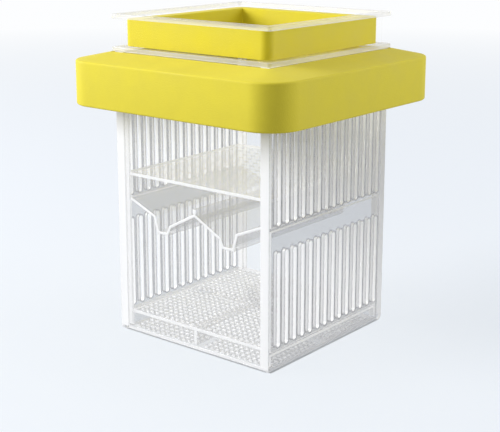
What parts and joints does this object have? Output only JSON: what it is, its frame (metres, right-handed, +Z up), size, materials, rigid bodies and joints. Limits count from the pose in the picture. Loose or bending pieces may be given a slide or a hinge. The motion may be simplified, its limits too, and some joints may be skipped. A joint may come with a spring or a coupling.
{
  "type": "fish breeding box",
  "caption": "Floating clear nursery box with slotted sides, mesh base and floor, double trough funnel, perforated tray, plug-in collar and foam float.",
  "frame": {"origin": "middle of the box's base, on the surface that the box stands on", "axes": "+Z up through the open neck, -Y out through the front window, +X out through the right grille"},
  "size_m": [0.138, 0.138, 0.168],
  "materials": {
    "window_plastic": "clear polished sheet",
    "grille_plastic": "clear moulded, glossy",
    "insert_plastic": "clear moulded, glossy",
    "collar_plastic": "clear moulded, glossy",
    "liner_foam": "matt closed-cell foam",
    "float_foam": "matt closed-cell foam"
  },
  "bodies": {
    "box": {"front_window": "window_plastic", "back_window": "window_plastic", "left_grille": "grille_plastic", "right_grille": "grille_plastic", "mesh_base": "insert_plastic"},
    "floor": {"mesh_floor": "insert_plastic"},
    "funnel": {"funnel": "insert_plastic"},
    "tray": {"perforated_tray": "insert_plastic"},
    "collar": {"collar": "collar_plastic"},
    "liner": {"foam_liner": "liner_foam"},
    "float": {"foam_float": "float_foam"}
  },
  "joints": [
    {"name": "floor_lift", "type": "slide", "parent": "box", "child": "floor", "axis": [0, 0, 1], "range_m": [0, 0.04]},
    {"name": "funnel_lift", "type": "slide", "parent": "box", "child": "funnel", "axis": [0, 0, 1], "range_m": [0, 0.02]},
    {"name": "tray_lift", "type": "slide", "parent": "funnel", "child": "tray", "axis": [0, 0, 1], "range_m": [0, 0.03]},
    {"name": "collar_lift", "type": "slide", "parent": "box", "child": "collar", "axis": [0, 0, 1], "range_m": [0, 0.06]},
    {"name": "liner_lift", "type": "slide", "parent": "collar", "child": "liner", "axis": [0, 0, 1], "range_m": [0, 0.04]},
    {"name": "float_slide", "type": "slide", "parent": "box", "child": "float", "axis": [0, 0, -1], "range_m": [-0.0035, 0.11]}
  ]
}
